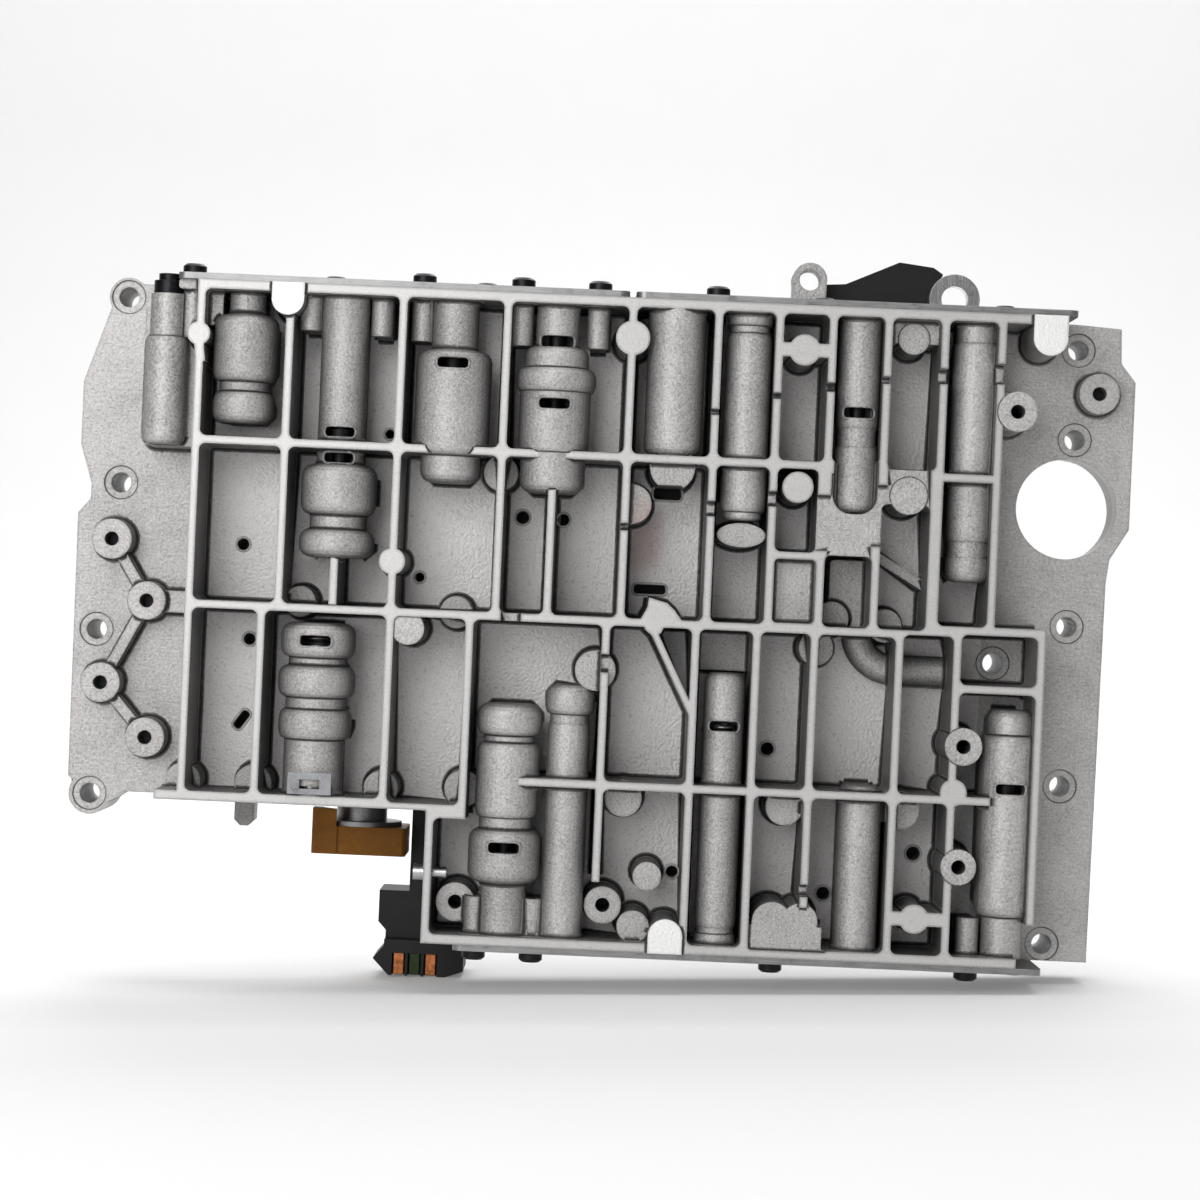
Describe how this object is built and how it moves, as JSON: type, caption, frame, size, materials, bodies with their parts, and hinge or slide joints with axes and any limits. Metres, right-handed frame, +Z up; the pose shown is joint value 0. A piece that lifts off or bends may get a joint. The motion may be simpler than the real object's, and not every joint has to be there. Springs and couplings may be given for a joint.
{
  "type": "transmission valve body",
  "caption": "Ribbed cast valve body of an automatic gearbox with spool valves in barrels under side covers, a rear casting, and a moulded conductor plate with solenoids and connector.",
  "frame": {"origin": "centre of the filter neck bore on the parting face of the front casting", "axes": "+X to the right along the body as the ribbed face is seen, +Z up along the valve bores, +Y from the ribbed face to the solenoid side"},
  "size_m": [0.3457, 0.0871, 0.2468],
  "materials": {
    "cast_aluminium": "die-cast skin with milled rib tops",
    "machined_aluminium": "turned",
    "plate_steel": "rolled",
    "cover_steel": "phosphated",
    "black_steel": "black oxide",
    "bright_steel": "ground",
    "spring_steel": "drawn wire",
    "black_plastic": "moulded",
    "amber_plastic": "moulded",
    "copper": "plated"
  },
  "bodies": {
    "valve_body": {"front_casting": "cast_aluminium", "separator_plate": "plate_steel", "rear_casting": "cast_aluminium", "top_cover_left": "cover_steel", "top_cover_right": "cover_steel", "bottom_cover": "cover_steel", "cover_screws": "black_steel", "body_screws": "black_steel", "end_plug": "machined_aluminium", "bore_plug": "black_steel", "keeper_clip": "bright_steel", "check_balls": "bright_steel", "dowel_pins": "bright_steel", "conductor_plate": "black_plastic", "connector_contacts": "copper", "lockup_solenoid": "bright_steel", "lockup_coil": "amber_plastic", "shift_solenoid_a": "bright_steel", "shift_solenoid_b": "bright_steel", "shift_solenoid_c": "bright_steel", "pressure_solenoid_a": "bright_steel", "pressure_solenoid_b": "bright_steel", "leaf_springs": "plate_steel", "leaf_bolts": "black_steel", "speed_sensor_a": "black_plastic", "speed_sensor_b": "black_plastic", "gallery_plug": "black_steel", "spring_01": "spring_steel", "spring_02": "spring_steel", "spring_03": "spring_steel", "spring_04": "spring_steel", "spring_05": "spring_steel", "spring_06": "spring_steel", "spring_07": "spring_steel", "spring_08": "spring_steel", "spring_09": "spring_steel", "spring_10": "spring_steel", "spring_11": "spring_steel", "spring_12": "spring_steel", "spring_13": "spring_steel", "spring_14": "spring_steel", "spring_15": "spring_steel"},
    "spool_01_body": {"spool_01": "machined_aluminium"},
    "spool_02_body": {"spool_02": "machined_aluminium"},
    "spool_03_body": {"spool_03": "machined_aluminium"},
    "spool_04_body": {"spool_04": "machined_aluminium"},
    "spool_05_body": {"spool_05": "machined_aluminium"},
    "spool_06_body": {"spool_06": "machined_aluminium"},
    "spool_07_body": {"spool_07": "machined_aluminium"},
    "spool_08_body": {"spool_08": "machined_aluminium"},
    "spool_09_body": {"spool_09": "machined_aluminium"},
    "spool_10_body": {"spool_10": "machined_aluminium"},
    "spool_11_body": {"spool_11": "machined_aluminium"},
    "spool_12_body": {"spool_12": "machined_aluminium"},
    "spool_13_body": {"spool_13": "machined_aluminium"},
    "spool_14_body": {"spool_14": "machined_aluminium"},
    "spool_15_body": {"spool_15": "machined_aluminium"},
    "selector_body": {"selector_valve": "bright_steel"}
  },
  "joints": [
    {"name": "spool_01_slide", "type": "slide", "parent": "valve_body", "child": "spool_01_body", "axis": [0, 0, -1], "range_m": [0, 0.006], "stiffness_N_per_m": 1500, "springref_m": -0.005, "deforming": ["spring_01"]},
    {"name": "spool_02_slide", "type": "slide", "parent": "valve_body", "child": "spool_02_body", "axis": [0, 0, -1], "range_m": [0, 0.006], "stiffness_N_per_m": 1500, "springref_m": -0.005, "deforming": ["spring_02"]},
    {"name": "spool_03_slide", "type": "slide", "parent": "valve_body", "child": "spool_03_body", "axis": [0, 0, -1], "range_m": [0, 0.006], "stiffness_N_per_m": 1500, "springref_m": -0.005, "deforming": ["spring_03"]},
    {"name": "spool_04_slide", "type": "slide", "parent": "valve_body", "child": "spool_04_body", "axis": [0, 0, -1], "range_m": [0, 0.006], "stiffness_N_per_m": 1500, "springref_m": -0.005, "deforming": ["spring_04"]},
    {"name": "spool_05_slide", "type": "slide", "parent": "valve_body", "child": "spool_05_body", "axis": [0, 0, -1], "range_m": [0, 0.006], "stiffness_N_per_m": 1500, "springref_m": -0.005, "deforming": ["spring_05"]},
    {"name": "spool_06_slide", "type": "slide", "parent": "valve_body", "child": "spool_06_body", "axis": [0, 0, -1], "range_m": [0, 0.006], "stiffness_N_per_m": 1500, "springref_m": -0.005, "deforming": ["spring_06"]},
    {"name": "spool_07_slide", "type": "slide", "parent": "valve_body", "child": "spool_07_body", "axis": [0, 0, -1], "range_m": [0, 0.006], "stiffness_N_per_m": 1500, "springref_m": -0.005, "deforming": ["spring_07"]},
    {"name": "spool_08_slide", "type": "slide", "parent": "valve_body", "child": "spool_08_body", "axis": [0, 0, -1], "range_m": [0, 0.006], "stiffness_N_per_m": 1500, "springref_m": -0.005, "deforming": ["spring_08"]},
    {"name": "spool_09_slide", "type": "slide", "parent": "valve_body", "child": "spool_09_body", "axis": [0, 0, -1], "range_m": [0, 0.006], "stiffness_N_per_m": 1500, "springref_m": -0.005, "deforming": ["spring_09"]},
    {"name": "spool_10_slide", "type": "slide", "parent": "valve_body", "child": "spool_10_body", "axis": [0, 0, 1], "range_m": [0, 0.006], "stiffness_N_per_m": 1500, "springref_m": -0.005, "deforming": ["spring_10"]},
    {"name": "spool_11_slide", "type": "slide", "parent": "valve_body", "child": "spool_11_body", "axis": [0, 0, 1], "range_m": [0, 0.006], "stiffness_N_per_m": 1500, "springref_m": -0.005, "deforming": ["spring_11"]},
    {"name": "spool_12_slide", "type": "slide", "parent": "valve_body", "child": "spool_12_body", "axis": [0, 0, 1], "range_m": [0, 0.006], "stiffness_N_per_m": 1500, "springref_m": -0.005, "deforming": ["spring_12"]},
    {"name": "spool_13_slide", "type": "slide", "parent": "valve_body", "child": "spool_13_body", "axis": [0, 0, 1], "range_m": [0, 0.006], "stiffness_N_per_m": 1500, "springref_m": -0.005, "deforming": ["spring_13"]},
    {"name": "spool_14_slide", "type": "slide", "parent": "valve_body", "child": "spool_14_body", "axis": [0, 0, 1], "range_m": [0, 0.006], "stiffness_N_per_m": 1500, "springref_m": -0.005, "deforming": ["spring_14"]},
    {"name": "spool_15_slide", "type": "slide", "parent": "valve_body", "child": "spool_15_body", "axis": [0, 0, 1], "range_m": [0, 0.006], "stiffness_N_per_m": 1500, "springref_m": -0.005, "deforming": ["spring_15"]},
    {"name": "selector_slide", "type": "slide", "parent": "valve_body", "child": "selector_body", "axis": [0, 0, 1], "range_m": [-0.006, 0.012]}
  ]
}
